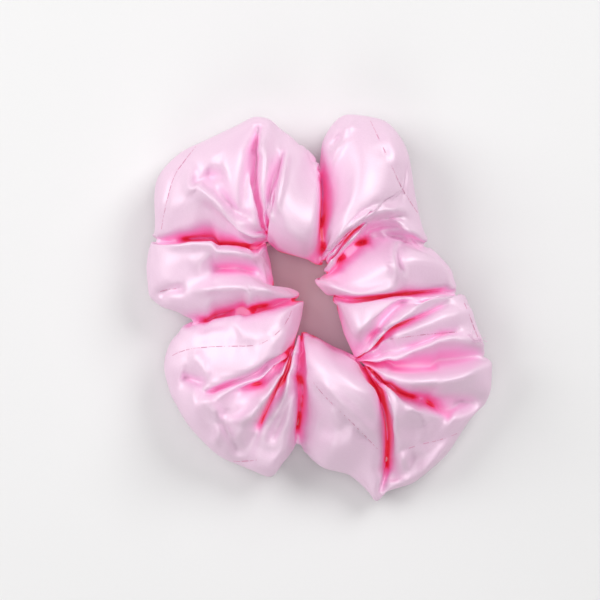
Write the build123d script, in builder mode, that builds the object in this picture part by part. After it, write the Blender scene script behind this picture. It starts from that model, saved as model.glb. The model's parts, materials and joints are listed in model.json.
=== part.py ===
"""A satin hair scrunchie lying flat on a table: a gathered tube of cloth over a sewn ring of elastic.

The cover is one tube of satin, gathered so tightly that its layers fill the ring. It is modelled as
closed solids, cut at the creases between the gathered puffs, so that the puffs can move apart when
the ring is pulled open. Each puff has its own length of the long seam. A channel through the puffs
holds the elastic band, whose ends are lapped and tacked, and the closing seam crosses one puff.

The ring's hole is modelled about the Z axis, and everything is then moved so that the origin is
under the middle of the whole scrunchie, on the table. Lengths are in millimetres.
"""

from build123d import *
import os
from math import cos, degrees, hypot, radians, sin

# The gathered cover. Angles turn about the hole, anticlockwise from +X, seen from above.
# Each crease: its angle, and how far out it reaches from the middle of the hole.
CREASES = [
    (0, 52),
    (22, 42),
    (36, 46),
    (56, 57),
    (85, 43),
    (98, 51),
    (159, 53),
    (193, 39),
    (215, 51),
    (265, 48),
    (282, 60),
    (303, 66),
    (320, 65),
    (341, 62),
]
# The puff that follows each crease: how far out its crest reaches, and its height.
CRESTS = [
    (50, 34),
    (47, 31),
    (54, 36),
    (63, 38),
    (50, 33),
    (62, 37),
    (53, 33),
    (52, 32),
    (61, 38),
    (57, 35),
    (72, 34),
    (70, 35),
    (69, 36),
    (60, 31),
]
HOLE_ACROSS_X = 18.0
HOLE_ACROSS_Y = 27.0
CREASE_HEIGHT = 22.0
CREASE_MIDDLE = 15.0
SUNK = 1.2  # how much of each crest the table flattens
CREASE_GAP = 0.6  # degrees left clear on each side of a crease
SECTIONS_PER_PUFF = 7
POINTS_PER_SECTION = 8

# The braided elastic, a flat band with its ends lapped and tacked.
ELASTIC_RADIUS = 21.0
ELASTIC_THICK = 1.1
ELASTIC_WIDE = 6.0
ELASTIC_MIDDLE = 10.0
CHANNEL_THICK = 5.6
CHANNEL_WIDE = 9.0
CHANNEL_SHIFT = 0.8  # the channel's middle is this far outside the band's, to clear the lap
CHANNEL_CORNER = CHANNEL_THICK / 3
LAP_LENGTH = 11.0
LAP_ANGLE = 176.0  # the lap lies in the puff that stays still when the ring is pulled
TACK_ROWS = 3
TACKS_PER_ROW = 4
TACK_FROM_EDGE = 0.8  # a tack row stops this far inside the band's edges
TACK_ROW_APART = 8.0  # degrees
TACK_LEAN = 1.333  # degrees, to each side of the row
TACK_END_GAP = 0.24  # clear length between one zigzag stitch and the next

# Sewing thread and its stitches.
THREAD = 0.4
THREAD_BITE = 0.15  # how far a stitch presses into the cloth
THREAD_END = 0.12  # how far back a stitch's ends are rounded off
STITCH_LENGTH = 2.6
STITCH_PITCH = 3.2
CLOSING_PUFF = 13
CLOSING_STITCHES = 15
CLOSING_FROM = 24.0  # degrees round the puff's section, from its outermost point
CLOSING_TO = 156.0
CLOSING_STITCH_SHARE = 0.62  # a stitch's share of the pitch; the rest is the gap


def upright(angle):
    """The plane that stands on a ray from the hole's axis: x points outwards and y points up."""
    outwards = Vector(cos(radians(angle)), sin(radians(angle)), 0)
    return Plane(origin=(0, 0, 0), x_dir=outwards, z_dir=outwards.cross(Vector(0, 0, 1)))


def hole_reach(angle):
    """How far the oval hole's edge is from its middle, in this direction."""
    half_x, half_y = HOLE_ACROSS_X / 2, HOLE_ACROSS_Y / 2
    return half_x * half_y / hypot(half_y * cos(radians(angle)), half_x * sin(radians(angle)))


def crease_section(angle, reach):
    """The cover's oval section at a crease: (angle, middle out, middle up, half out, half up)."""
    inner = hole_reach(angle)
    return angle, (inner + reach) / 2, CREASE_MIDDLE, (reach - inner) / 2, CREASE_HEIGHT / 2


def crest_section(angle, reach, height):
    """The cover's oval section at a puff's crest, low enough for the table to flatten it."""
    inner = hole_reach(angle)
    half_up = (height + SUNK) / 2
    return angle, (inner + reach) / 2, half_up - SUNK, (reach - inner) / 2, half_up


def puff_sections(index):
    """The three sections of a puff: its first crease, its crest and its second crease."""
    first, first_reach = CREASES[index]
    second, second_reach = CREASES[(index + 1) % len(CREASES)]
    second += 360 if second <= first else 0
    crest_reach, crest_height = CRESTS[index]
    return [
        crease_section(first + CREASE_GAP, first_reach),
        crest_section((first + second) / 2, crest_reach, crest_height),
        crease_section(second - CREASE_GAP, second_reach),
    ]


def section_between(sections, share):
    """The oval section at a share of the way round a puff, from 0 at its first crease to 1."""
    (a0, *first), (a1, *crest), (a2, *second) = sections
    angle = a0 + (a2 - a0) * share
    away = abs(2 * share - 1)
    crease = first if share < 0.5 else second
    swell = 1 - away * away
    return [angle] + [low + (high - low) * swell for low, high in zip(crease, crest)]


def make_puff(index):
    """One puff of the cover: a solid length of gathered tube, with the elastic's channel through it."""
    sections = puff_sections(index)
    with BuildPart() as puff:
        for step in range(SECTIONS_PER_PUFF):
            angle, out, up, half_out, half_up = section_between(sections, step / (SECTIONS_PER_PUFF - 1))
            outline = [
                (out + half_out * cos(turn), up + half_up * sin(turn))
                for turn in (radians(360 * n / POINTS_PER_SECTION) for n in range(POINTS_PER_SECTION))
            ]
            with BuildSketch(upright(angle)):
                with BuildLine():
                    Spline(*outline, periodic=True)
                make_face()
        loft()
        split(bisect_by=Plane.XY, keep=Keep.TOP)
        with BuildSketch(Plane.XZ):
            with Locations((ELASTIC_RADIUS + CHANNEL_SHIFT, ELASTIC_MIDDLE)):
                RectangleRounded(CHANNEL_THICK, CHANNEL_WIDE, CHANNEL_CORNER)
        revolve(axis=Axis.Z, mode=Mode.SUBTRACT)
    return puff.part


def make_elastic():
    """The elastic band, and the end of it that laps over its start."""
    middle = ELASTIC_RADIUS
    lap_turn = degrees(LAP_LENGTH / (middle + ELASTIC_THICK))
    with BuildPart() as band:
        with BuildSketch(Plane.XY.offset(ELASTIC_MIDDLE - ELASTIC_WIDE / 2)):
            Circle(middle + ELASTIC_THICK / 2)
            Circle(middle - ELASTIC_THICK / 2, mode=Mode.SUBTRACT)
        extrude(amount=ELASTIC_WIDE)
        with BuildSketch(upright(LAP_ANGLE - lap_turn / 2)):
            with Locations((middle + ELASTIC_THICK, ELASTIC_MIDDLE)):
                Rectangle(ELASTIC_THICK, ELASTIC_WIDE)
        revolve(axis=Axis.Z, revolution_arc=lap_turn)
    return band.part


def thread_run(points):
    """A straight stitch between two points, with rounded ends."""
    start, end = (Vector(*p) for p in points)
    along = end - start
    with BuildPart() as stitch:
        with BuildSketch(Plane(origin=start, z_dir=along)):
            Circle(THREAD / 2)
        extrude(amount=along.length)
        chamfer(stitch.edges().filter_by(GeomType.CIRCLE), THREAD_END)
    return stitch.part


def make_elastic_tack():
    """Rows of zigzag stitches that hold the elastic's lapped ends together."""
    face = ELASTIC_RADIUS + ELASTIC_THICK * 1.5 + THREAD / 2 - THREAD_BITE
    half_up = ELASTIC_WIDE / 2 - TACK_FROM_EDGE
    stitches = []
    for row in range(TACK_ROWS):
        angle = LAP_ANGLE + (row - (TACK_ROWS - 1) / 2) * TACK_ROW_APART
        for step in range(TACKS_PER_ROW):
            low = ELASTIC_MIDDLE - half_up + step * 2 * half_up / TACKS_PER_ROW
            high = low + 2 * half_up / TACKS_PER_ROW - TACK_END_GAP
            side = 1 if step % 2 else -1
            ends = [
                (
                    face * cos(radians(angle + lean)),
                    face * sin(radians(angle + lean)),
                    level,
                )
                for lean, level in ((-side * TACK_LEAN, low), (side * TACK_LEAN, high))
            ]
            stitches.append(thread_run(ends))
    return Compound(children=stitches)


def make_long_seam(index):
    """The stitches of the tube's long seam on one puff, along the puff's outermost line."""
    sections = puff_sections(index)
    first, last = sections[0][0], sections[2][0]
    _, crest_out, _, crest_half_out, _ = sections[1]
    count = round(radians(last - first) * (crest_out + crest_half_out) / STITCH_PITCH)
    stitches = []
    for step in range(count):
        ends = []
        for shift in (-0.5, 0.5):
            share = (step + 0.5 + shift * STITCH_LENGTH / STITCH_PITCH) / count
            angle, out, up, half_out, _ = section_between(sections, share)
            edge = out + half_out + THREAD / 2 - THREAD_BITE
            ends.append((edge * cos(radians(angle)), edge * sin(radians(angle)), up))
        stitches.append(thread_run(ends))
    return Compound(children=stitches)


def make_closing_seam():
    """The row of topstitches across the tube where its two ends are joined, over the puff's crest."""
    angle, out, up, half_out, half_up = puff_sections(CLOSING_PUFF)[1]
    around = radians(angle)
    step = (CLOSING_TO - CLOSING_FROM) / CLOSING_STITCHES
    lift = THREAD / 2 - THREAD_BITE

    def on_cover(turn):
        level = radians(turn)
        away = out + (half_out + lift) * cos(level)
        return away * cos(around), away * sin(around), up + (half_up + lift) * sin(level)

    stitches = [
        thread_run([on_cover(turn), on_cover(turn + step * CLOSING_STITCH_SHARE)])
        for turn in (CLOSING_FROM + step * n for n in range(CLOSING_STITCHES))
    ]
    return Compound(children=stitches)


pieces = {}
for index in range(len(CREASES)):
    pieces[f"cover_puff_{index + 1:02d}"] = make_puff(index)
cover_box = Compound(children=[puff.moved(Location()) for puff in pieces.values()]).bounding_box()
for index in range(len(CREASES)):
    pieces[f"long_seam_{index + 1:02d}"] = make_long_seam(index)
pieces["elastic_band"] = make_elastic()
pieces["elastic_tack_thread"] = make_elastic_tack()
pieces["closing_seam_thread"] = make_closing_seam()

middle_of_all = cover_box.center()
to_origin = Location((-middle_of_all.X, -middle_of_all.Y, 0))
os.makedirs("parts", exist_ok=True)
for name, piece in pieces.items():
    placed = piece.moved(to_origin)
    placed.label = name
    export_step(placed, f"parts/{name}.step")
print("hole's middle", to_origin.position, "cover", cover_box.size)
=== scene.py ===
"""A pink satin scrunchie: the gathered satin cover, its seams and the braided elastic inside."""

import json
from math import atan2, cos, pi, radians, sin
import bpy
import numpy as np
from bpy.props import FloatProperty, FloatVectorProperty, IntProperty, PointerProperty
from mathutils import Matrix, Vector
from mathutils.bvhtree import BVHTree

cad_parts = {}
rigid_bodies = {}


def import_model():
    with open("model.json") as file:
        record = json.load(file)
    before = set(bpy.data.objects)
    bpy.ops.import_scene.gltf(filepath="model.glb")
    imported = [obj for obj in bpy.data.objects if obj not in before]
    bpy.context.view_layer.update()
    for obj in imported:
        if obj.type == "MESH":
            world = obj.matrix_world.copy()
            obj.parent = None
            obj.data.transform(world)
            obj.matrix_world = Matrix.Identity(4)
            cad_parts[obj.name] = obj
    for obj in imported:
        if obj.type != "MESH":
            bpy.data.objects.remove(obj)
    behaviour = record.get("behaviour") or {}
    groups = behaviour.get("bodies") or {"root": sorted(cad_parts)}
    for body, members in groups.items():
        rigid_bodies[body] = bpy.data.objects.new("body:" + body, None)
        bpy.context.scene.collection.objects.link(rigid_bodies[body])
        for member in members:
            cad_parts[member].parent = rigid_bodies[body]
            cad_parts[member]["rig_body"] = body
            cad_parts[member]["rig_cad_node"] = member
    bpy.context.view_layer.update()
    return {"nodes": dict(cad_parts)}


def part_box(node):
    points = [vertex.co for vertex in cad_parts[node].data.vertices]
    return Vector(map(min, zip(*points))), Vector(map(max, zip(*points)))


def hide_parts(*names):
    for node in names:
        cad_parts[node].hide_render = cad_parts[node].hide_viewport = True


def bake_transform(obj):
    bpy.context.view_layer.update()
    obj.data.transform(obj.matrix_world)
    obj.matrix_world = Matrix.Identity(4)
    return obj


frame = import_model()

bl_info = {
    "name": "Satin Scrunchie",
    "version": (1, 0, 0),
    "blender": (4, 5, 0),
    "location": "View3D > Sidebar > Scrunchie",
    "description": "Makes a gathered satin scrunchie, its seams and its elastic",
    "category": "Add Mesh",
}

MM = 0.001

# The cover's puffs and the long seam's lengths in the model, and where the elastic lies.
PUFFS = sorted(name for name in frame["nodes"] if name.startswith("cover_puff_"))
SEAM_LENGTHS = sorted(name for name in frame["nodes"] if name.startswith("long_seam_"))
ELASTIC_LOW, ELASTIC_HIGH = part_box("elastic_band")
ELASTIC_MIDDLE = (ELASTIC_LOW + ELASTIC_HIGH) / 2
ELASTIC_RADIUS = 0.021  # to the middle of the band's thickness

# The cover's folds, in order round the ring, clockwise seen from above. Each line crosses the top
# of the tube from the hole to the rim through four points, in millimetres.
FOLDS = [
    ("slit under the upper left puff", (-18.5, 22.5, 13), (-27.5, 23, 11), (-39, 23, 11), (-53, 23, 10)),
    ("lower lip of the upper left puff", (-18.5, 23.5, 20), (-27.5, 26, 25), (-40, 27, 23), (-54.5, 25, 13)),
    ("panel above the lip", (-18.5, 24, 22), (-30, 28.5, 27), (-45.5, 32.5, 24), (-54.5, 33.5, 13)),
    ("curved fold", (-18, 25, 24), (-29, 30, 32), (-42, 38.5, 26), (-53, 42.5, 13)),
    ("hollow inside the curved fold", (-18, 25, 22), (-29.5, 32.5, 26), (-36.5, 40.5, 24), (-45.5, 51, 14)),
    ("broad crown", (-18, 25.5, 23), (-26, 36, 29), (-32, 47.5, 28), (-36.5, 55.5, 14)),
    ("side of the crown", (-18, 25.5, 23), (-23, 38, 28), (-26, 50, 28), (-27, 59.5, 16)),
    ("long soft valley", (-18, 26, 21), (-22.5, 37.5, 24), (-21.5, 50, 25), (-21, 61.5, 18)),
    ("tall pleat", (-17.5, 26, 24), (-19, 38.5, 31), (-18, 50, 29), (-17, 61, 18)),
    ("gap beside the tall pleat", (-17.5, 26, 20), (-17, 38, 26), (-15, 48.5, 26), (-13, 57.5, 16)),
    ("rolled edge of the top panel", (-17.5, 25, 24), (-15.5, 35.5, 33), (-12, 46.5, 29), (-9.5, 55, 16)),
    ("crown of the top panel", (-14, 20, 18), (-11, 30.5, 35), (-7.5, 42, 30), (-5, 51.5, 14)),
    ("right side of the top panel", (-5.5, 16.5, 14), (-3.5, 27, 33), (-2.5, 38.5, 27), (-2, 48.5, 13)),
    ("straight cleft at the top", (0, 15, 12), (0.5, 25.5, 13), (0.5, 37, 13), (0, 46.5, 9)),
    ("left edge of the top right puff", (1, 16.5, 16), (3.5, 27, 28), (4.5, 42, 25), (1.5, 54, 14)),
    ("crown of the top right puff", (2, 17.5, 20), (8.5, 30.5, 34), (13.5, 45.5, 30), (9.5, 63, 14)),
    ("long seam side", (3, 18.5, 22), (15.5, 33.5, 33), (22, 44.5, 27), (20.5, 61, 14)),
    ("shoulder of the top right puff", (3.5, 19.5, 24), (20.5, 33.5, 30), (26.5, 38.5, 24), (28, 52, 13)),
    ("first rolled lip", (3, 17, 24), (11, 27, 33), (21.5, 32.5, 28), (31, 36, 14)),
    ("groove between the lips", (3, 16, 20), (12, 25.5, 27), (23, 31, 25), (33.5, 28, 13)),
    ("second rolled lip", (3, 14, 24), (10, 22.5, 32), (22, 28, 26), (35.5, 22.5, 13)),
    ("deep pocket", (1.5, 11.5, 12), (10, 19, 10), (19.5, 24, 15), (34.5, 20.5, 11)),
    ("floor of the bowl", (0, 9.5, 17), (9.5, 13, 20), (21, 18.5, 22), (36, 19, 13)),
    ("rolled oval fold", (0, 8.5, 21), (13.5, 8, 27), (28.5, 14, 29), (43.5, 10.5, 13)),
    ("underside of the oval fold", (2, 5.5, 20), (15, 5, 27), (29.5, 6.5, 26), (44.5, 6, 11)),
    ("cleft under the oval fold", (4.5, 3.5, 12), (14.5, 3.5, 16), (26.5, 4.5, 17), (44, 4, 9)),
    ("top of the right pleats", (5.5, 2, 18), (11.5, 0.5, 29), (23, 3, 25), (44, 3, 13)),
    ("flat pleat by the hole", (8.5, -7.5, 20), (13, -6.5, 33), (21.5, 0, 27), (43.5, 3, 13)),
    ("first pleat line", (12, -16, 17), (16.5, -10, 24), (24, -1, 23), (44.5, 2, 11)),
    ("second pleat", (12, -16, 19), (18.5, -10, 30), (31, 0, 27), (46.5, 2, 13)),
    ("red gap in the pleats", (12.5, -16.5, 14), (20.5, -10.5, 20), (34.5, -3.5, 23), (48.5, 0, 11)),
    ("third pleat", (12.5, -16.5, 19), (21.5, -12, 29), (36, -6.5, 27), (50.5, -3, 13)),
    ("third pleat line", (12.5, -17, 15), (23, -14, 23), (39, -9.5, 23), (52, -7.5, 11)),
    ("small round pleat", (13, -17, 19), (24.5, -16, 27), (42, -12, 26), (53, -13.5, 13)),
    ("pocket under the pleats", (13.5, -17.5, 12), (26, -18, 15), (39, -18.5, 12), (53.5, -17.5, 9)),
    ("satin roll", (14, -17.5, 18), (28, -22.5, 31), (42, -23, 28), (55.5, -20.5, 13)),
    ("second satin roll", (15, -18, 18), (27.5, -25.5, 29), (42, -27, 24), (54.5, -28, 13)),
    ("cleft under the satin rolls", (15, -18, 12), (25.5, -27, 16), (35, -31.5, 14), (53, -32.5, 9)),
    ("top of the lower right fan", (15, -18.5, 18), (24.5, -29.5, 31), (35, -36, 24), (48, -37.5, 11)),
    ("middle of the fan", (15, -18.5, 18), (23, -31.5, 33), (29, -42.5, 22), (39, -50, 9)),
    ("left of the fan", (15, -19, 16), (21.5, -32, 24), (24.5, -46, 17), (28, -58.5, 7)),
    ("deep red valley", (14.5, -19, 10), (18.5, -29.5, 9), (21, -46, 9), (18.5, -62, 7)),
    ("right edge of the bottom puff", (12, -17, 18), (16, -26, 29), (19.5, -42.5, 18), (16.5, -63, 7)),
    ("seamed crown of the bottom puff", (4.5, -14, 20), (8.5, -25, 36), (12, -39.5, 26), (8, -54, 9)),
    ("broad belly of the bottom puff", (-2, -10, 20), (2, -22.5, 35), (4.5, -37, 29), (0.5, -52, 11)),
    ("left edge of the bottom puff", (-5.5, -9.5, 20), (-4, -20, 30), (-3, -33.5, 24), (-5.5, -46.5, 11)),
    ("deep red slit at the bottom", (-6.5, -9.5, 14), (-6.5, -22, 11), (-7, -33, 9), (-8, -44.5, 7)),
    ("narrow pleat", (-7.5, -10, 20), (-9.5, -21.5, 31), (-11, -34.5, 26), (-12.5, -50, 11)),
    ("line between the pleats", (-7.5, -11, 18), (-11, -22.5, 27), (-14, -36, 24), (-16.5, -55, 9)),
    ("second narrow pleat", (-8, -12, 20), (-12, -22.5, 31), (-17, -36, 26), (-21.5, -53, 11)),
    ("pink valley", (-8.5, -12.5, 15), (-15, -25, 23), (-20.5, -39.5, 22), (-26, -51, 11)),
    ("white ridge", (-9.5, -13.5, 20), (-17, -27, 32), (-25.5, -39.5, 26), (-32, -48.5, 11)),
    ("swirl valley", (-10.5, -15, 14), (-21.5, -27, 24), (-33.5, -38, 24), (-39, -42.5, 11)),
    ("swirl crest", (-11, -16, 19), (-24.5, -23, 32), (-39, -30.5, 27), (-46, -33.5, 11)),
    ("crease of the swirl", (-10, -14, 17), (-23, -20, 27), (-35, -25, 24), (-49, -26.5, 11)),
    ("lower roll of the left puff", (-9, -12, 20), (-19, -16, 33), (-31, -17.5, 27), (-50.5, -19.5, 11)),
    ("crown of the left puff", (-7.5, -5.5, 20), (-18, -10, 33), (-31, -9.5, 25), (-48.5, -12, 11)),
    ("seamed edge of the left puff", (-7.5, 1, 22), (-16.5, -3, 29), (-29.5, -5.5, 23), (-44.5, -6.5, 11)),
    ("left slit", (-8.5, 3, 14), (-19, -0.5, 12), (-31, -3, 11), (-42, -4.5, 9)),
    ("rolled fold over the left slit", (-9, 4.5, 22), (-19.5, 3, 33), (-34.5, 1.5, 26), (-45.5, -1, 13)),
    ("long fold on the left", (-11.5, 6.5, 22), (-21.5, 6.5, 32), (-37.5, 6, 27), (-52, 1.5, 11)),
    ("pink hollow on the left", (-16, 7.5, 15), (-24.5, 12, 24), (-39, 12, 25), (-55.5, 5.5, 11)),
    ("side of the hollow", (-17, 13, 18), (-26, 16.5, 26), (-41, 16.5, 25), (-56, 14, 11)),
    ("straight fold on the left", (-19, 19, 22), (-27.5, 20.5, 31), (-40, 20.5, 26), (-55, 21, 11)),
]

# Where the cover goes underneath: how far across from hole to rim, how far in from that edge,
# and how high, in millimetres.
UNDERSIDE = [(1.0, 3.0, 3.5), (0.72, 0.0, 0.8), (0.36, 0.0, 0.8), (0.0, 2.0, 5.0)]

# Sharp lines that the cloth has been pressed into: half width and depth in millimetres (a ridge has
# a height instead, as a negative depth), and the line's points, seen from above.
CREASES = [
    (
        "slit under the upper left puff", 1.3, 6.0,
        [(-47, 22.5), (-40, 23), (-30.5, 23), (-23, 21.5), (-18.5, 20)],
    ),
    ("lip of the slit", 1.4, -1.6, [(-52, 20.5), (-39, 21), (-26, 19.5), (-17.5, 18)]),
    ("cleft at the top", 1.2, 7.0, [(0, 45), (0.5, 35.5), (0, 25.5), (1, 16.5)]),
    ("red crescent of the bowl", 1.6, 6.0, [(3.5, 15), (7.5, 18.5), (12, 21), (16.5, 22)]),
    (
        "deep valley by the fan", 2.6, 4.5,
        [(16, -20.5), (19.5, -28), (21.5, -37), (21.5, -47.5), (20.5, -55.5)],
    ),
    ("slit between bottom and left puffs", 1.3, 6.0, [(-6.5, -20.5), (-5, -24.5), (-6, -31.5), (-8, -41)]),
    ("left slit", 1.2, 5.5, [(-40, -4.5), (-34, -3.5), (-28.5, -2), (-22.5, 0.5), (-15, 2)]),
    (
        "slit at the top of the fan", 1.2, 4.5,
        [(14, -17.5), (18, -21.5), (22.5, -26), (27, -29), (32.5, -29.5)],
    ),
    ("first pleat line", 1.2, 2.0, [(10, -16.5), (13, -12), (19.5, -4.5), (28.5, 3.5)]),
    ("second pleat line", 1.2, 3.0, [(14, -9.5), (24, -5.5), (35.5, -1), (43, 3)]),
    ("edge of the second pleat", 1.2, -1.4, [(15, -8), (24, -4.5), (35.5, 0), (42, 4)]),
    ("under the round pleat", 1.2, 2.2, [(26, -13), (34, -10.5), (40.5, -8), (46, -7.5)]),
    ("pocket under the pleats", 2.4, 3.6, [(20.5, -19.5), (29.5, -21), (39.5, -19.5)]),
    ("edge over the pocket", 1.2, -1.4, [(16.5, -18), (27.5, -18.5), (40.5, -18.5)]),
    ("first line beside the tall pleat", 1.2, 2.5, [(-17.5, 27.5), (-20.5, 36.5), (-21, 46.5), (-19, 57)]),
    ("crest of the tall pleat", 1.2, -2.2, [(-16.5, 27.5), (-18.5, 37), (-17.5, 46.5), (-19, 58)]),
    ("second line beside the tall pleat", 1.2, 2.6, [(-16, 29), (-14.5, 38.5), (-12, 52)]),
    ("edge of the top panel", 1.2, -1.6, [(-15, 29.5), (-13, 38.5), (-10.5, 52)]),
    (
        "curved fold", 1.8, -2.4,
        [(-19.5, 26), (-28, 30.5), (-36.5, 34.5), (-41.5, 38.5), (-42.5, 43), (-40.5, 47.5)],
    ),
    (
        "inside the curved fold", 1.3, 2.0,
        [(-20.5, 29), (-29, 32.5), (-36.5, 36), (-40.5, 40.5), (-41.5, 44.5)],
    ),
    ("soft hollow of the crown", 4.0, 2.2, [(-37.5, 44.5), (-34.5, 42.5), (-30.5, 43.5)]),
    ("pink pleat beside the crown", 1.4, 1.8, [(-24, 30.5), (-24.5, 38.5), (-23, 48.5), (-20.5, 56.5)]),
    ("facet of the top right puff", 1.2, -1.5, [(11, 62), (6.5, 54), (2.5, 45)]),
    ("first rolled lip", 1.2, -2.2, [(2.5, 19), (7.5, 26), (15, 31), (24, 33), (30.5, 30.5)]),
    ("groove between the lips", 1.2, 2.6, [(3, 17), (9.5, 25), (18.5, 29), (28.5, 30)]),
    ("second rolled lip", 1.2, -2.0, [(3.5, 14.5), (9, 20.5), (16.5, 25), (26, 26), (33.5, 23.5)]),
    ("edge of the bowl", 1.2, -1.9, [(0, 9.5), (6.5, 5.5), (15, 5), (26, 8)]),
    ("rim of the oval roll", 1.2, 2.2, [(29.5, 21), (26.5, 21.5), (24.5, 18.5), (25, 14), (27.5, 11)]),
    ("lip of the oval roll", 1.2, -1.9, [(28.5, 22.5), (24.5, 22), (23, 18.5), (23, 13), (26.5, 9.5)]),
    ("line under the bowl", 1.2, 2.4, [(8, 3), (16.5, 4), (27.5, 4.5), (35.5, 6), (42.5, 6.5)]),
    ("left hollow", 4.5, 2.9, [(-36, 13), (-28, 12.5), (-20.5, 10.5)]),
    (
        "edge above the left hollow", 2.0, -1.1,
        [(-39, 9.5), (-39.5, 15), (-34.5, 18.5), (-26, 19.5), (-19, 17)],
    ),
    ("edge under the left hollow", 1.3, -1.9, [(-42.5, 5), (-34.5, 6.5), (-23, 7), (-12, 5.5)]),
    ("dent at the left", 1.4, 1.4, [(-53, 3.5), (-49, 6.5), (-43.5, 6.5)]),
    ("swirl line", 1.2, 1.8, [(-39, -28.5), (-34.5, -25), (-26, -20.5), (-17, -17.5)]),
    ("swirl edge", 1.2, -1.6, [(-41, -33), (-42.5, -29), (-38.5, -25), (-27.5, -20.5), (-19, -17)]),
    ("swirl valley", 2.8, 3.6, [(-37, -29.5), (-32, -26), (-23.5, -24), (-17, -24)]),
    ("dent of the left puff", 3.0, 3.2, [(-45.5, -21.5), (-41, -23), (-37, -25)]),
    ("edge of that dent", 1.2, -1.4, [(-42.5, -14), (-38, -17.5), (-36, -24)]),
    ("white ridge", 1.5, -2.2, [(-12, -15), (-15, -22.5), (-21, -30.5), (-27, -38)]),
    ("pink valley", 2.0, 3.8, [(-10.5, -17.5), (-13, -24.5), (-17, -32.5), (-21, -40)]),
    ("line of the narrow pleats", 1.2, 2.0, [(-7, -20.5), (-10, -28), (-13, -36), (-17, -44.5)]),
    ("red slit end", 1.2, 3.0, [(-9.5, -13.5), (-10, -18.5), (-12, -23)]),
    ("star crease", 1.2, 1.4, [(-34, -35), (-30, -39.5), (-26, -48)]),
    ("star crease crossing", 1.2, -1.4, [(-34.5, -30.5), (-32, -39), (-35.5, -45.5)]),
    ("star crease upwards", 1.2, 1.2, [(-34, -34.5), (-26, -33.5), (-19, -29)]),
    ("diagonal of the bottom puff", 1.6, 1.2, [(-2, -24), (3, -29), (9.5, -36), (17.5, -44.5)]),
    ("facet over the diagonal", 2.0, -1.4, [(-1, -23), (5, -29), (11.5, -35.5), (18, -42.5)]),
    ("dimple of the bottom puff", 3.5, 1.2, [(-1, -38), (5, -39), (9.5, -39.5)]),
    ("fold of the fan", 2.4, 3.2, [(33, -29.5), (37.5, -33), (42.5, -36)]),
    ("edge of the fan", 1.2, -1.6, [(27, -31), (32.5, -33.5), (35, -42.5)]),
    ("long roll of the fan", 1.4, -1.9, [(24, -23), (34, -24), (45.5, -23), (53, -17.5)]),
    ("line under the long roll", 1.2, 1.6, [(25, -28.5), (34, -29), (43.5, -29.5), (52, -30.5)]),
    ("pink wedge at the bottom", 1.8, 2.0, [(22, -47.5), (24, -52.5), (24.5, -57)]),
    ("soft pleat of the bottom tip", 1.6, -1.2, [(26, -46.5), (28.5, -52.5), (29, -57)]),
    ("bright edge of the fan's hem", 1.5, -1.3, [(41.5, -42.5), (37.5, -48.5), (32.5, -54)]),
    ("hollow of the fan's hem", 2.4, 1.8, [(32.5, -46.5), (29.5, -51), (27, -55.5)]),
    ("dent at the top left", 1.6, 1.4, [(-43.5, 51.5), (-47, 48.5), (-50, 45.5)]),
    ("crease at the crown's tip", 1.4, 2.2, [(-20, 60), (-20.5, 55.5), (-22.5, 49.5)]),
    ("dimple of the top right puff", 3.0, 1.8, [(5, 56), (6.5, 53)]),
    ("bright side of the top right puff", 3.0, -1.0, [(22, 58), (24, 51.5), (25, 45)]),
    ("pleat of the right puff", 1.3, -1.3, [(42.5, 5.5), (32.5, 3), (23, -3), (16.5, -10)]),
    ("hollow of the right puff", 2.6, 1.8, [(16.5, -14), (20, -11), (24, -9.5)]),
    ("wedge line", 1.2, 1.2, [(19.5, -50), (21.5, -55), (19.5, -60.5)]),
]

# The long seam, where it comes round to the top, in millimetres.
LONG_SEAM = [
    (
        "down the upper left puff",
        [(-37, 56.5), (-40.5, 52.5), (-44.5, 47.5), (-47.5, 43), (-49.5, 35.5), (-51, 29), (-52, 23)],
    ),
    ("round the lower left of the fold", [(-54.5, 3.5), (-52.5, 5.5), (-49, 6.5), (-43.5, 6.5)]),
    (
        "across the left puff",
        [
            (-50.5, -16.5), (-45, -13.5), (-39, -12.5), (-30.5, -12), (-21, -12),
            (-16.5, -10), (-12, -6), (-9.5, -1.5), (-9, 2),
        ],
    ),
    ("along the bottom of the left puff", [(-39, -46.5), (-34, -48.5), (-26.5, -50), (-20.5, -49)]),
    ("across the bottom puff", [(-2.5, -23.5), (1, -28), (9, -35.5), (18.5, -45.5)]),
    ("across the fan", [(19, -47.5), (25, -46.5), (32, -44), (39.5, -42.5), (44.5, -40.5)]),
    ("along the round pleat", [(15, -11), (24, -9.5), (35.5, -8), (46, -7.5)]),
    ("down the top right puff", [(16, 61), (19.5, 53), (22.5, 46.5), (25.5, 40), (29, 34.5), (31.5, 31)]),
]

# The closing seam: its stitches, the raw ends of the cloth beside it, and the yarns that fray out.
CLOSING_SEAM = [(46.5, 2), (48.5, -3), (51, -9.5)]
RAW_EDGE = [(51, 2.5), (54, -4.5), (55.5, -10), (56.5, -16)]
FRAYED_AT = [(47.5, -8.5), (50, -10.5), (52, -10)]

# How finely the cover is divided, along the ring and around the tube.
SETTLING_GRID = (128, 36)
FINE_GRID = (416, 118)
OUTLINE_POINTS = 240  # points that stand for one fold's outline before it is divided
TOP_FROM = 8.0  # above this height the outline is divided more finely, in millimetres
UNDER_SHARE = 0.55  # how finely the rest is divided, against the top

# The elastic is drawn further out at one corner of the hole: at which angle, how far, how wide.
CORNER_AT, CORNER_REACH, CORNER_WIDTH = -50.0, 5.5, 24.0

# The cover settles as soft cloth, ten times its size so that the simulation is steady.
SETTLING_SCALE = 10.0
SETTLING_FRAMES = 16
SETTLING_SHRINK = -0.10  # below 0, so that the cloth grows and bulges as it settles
HOLD_LOOSE, HOLD_AT_ELASTIC = 0.2, 0.9  # how firmly the cloth stays at its first place
SETTLED_SIZE = 0.985  # the settled cloth swells a little, and is brought back to the ring's size

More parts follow.
